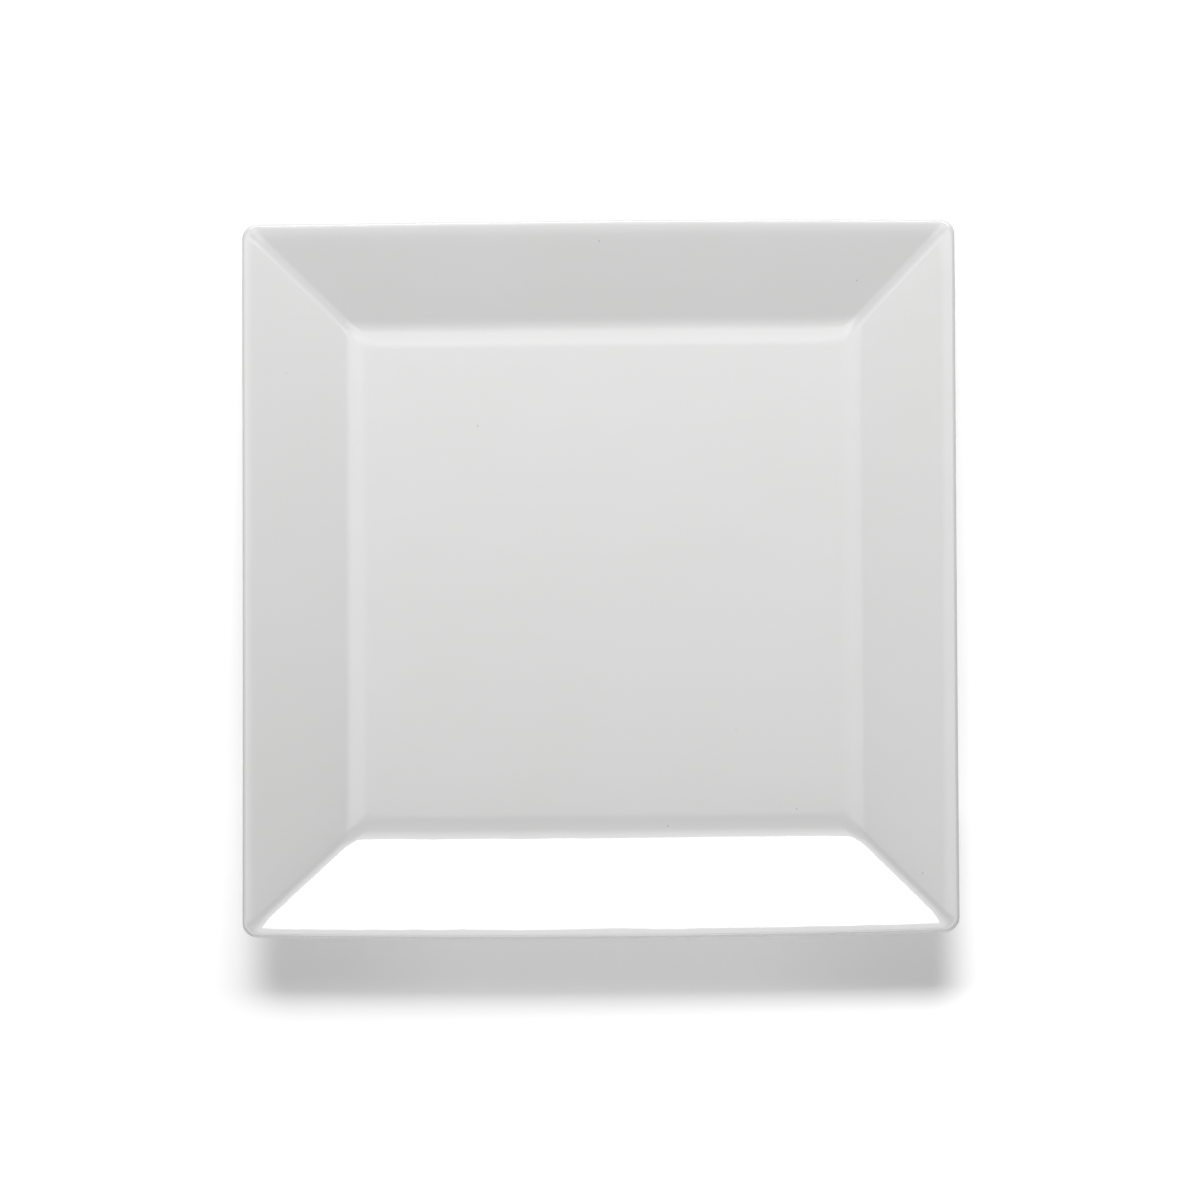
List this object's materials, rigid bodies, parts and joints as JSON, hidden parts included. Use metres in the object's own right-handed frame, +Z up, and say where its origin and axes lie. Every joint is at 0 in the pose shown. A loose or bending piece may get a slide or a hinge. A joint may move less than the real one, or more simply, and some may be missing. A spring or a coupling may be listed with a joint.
{
  "type": "dessert plate",
  "caption": "Square white porcelain dessert plate with a flat well, sloping mitred walls, a rounded lip and a low square foot ring.",
  "frame": {"origin": "centre of the plate on the table, level with the foot ring's standing face", "axes": "+Z up out of the well, X and Y along the plate's sides, -Y towards the diner"},
  "size_m": [0.18, 0.18, 0.017],
  "materials": {
    "bare_porcelain": "matte",
    "white_glaze": "polished"
  },
  "bodies": {
    "root": {"porcelain_body": "bare_porcelain", "outer_glaze_coat": "white_glaze", "base_glaze_coat": "white_glaze"}
  },
  "joints": []
}
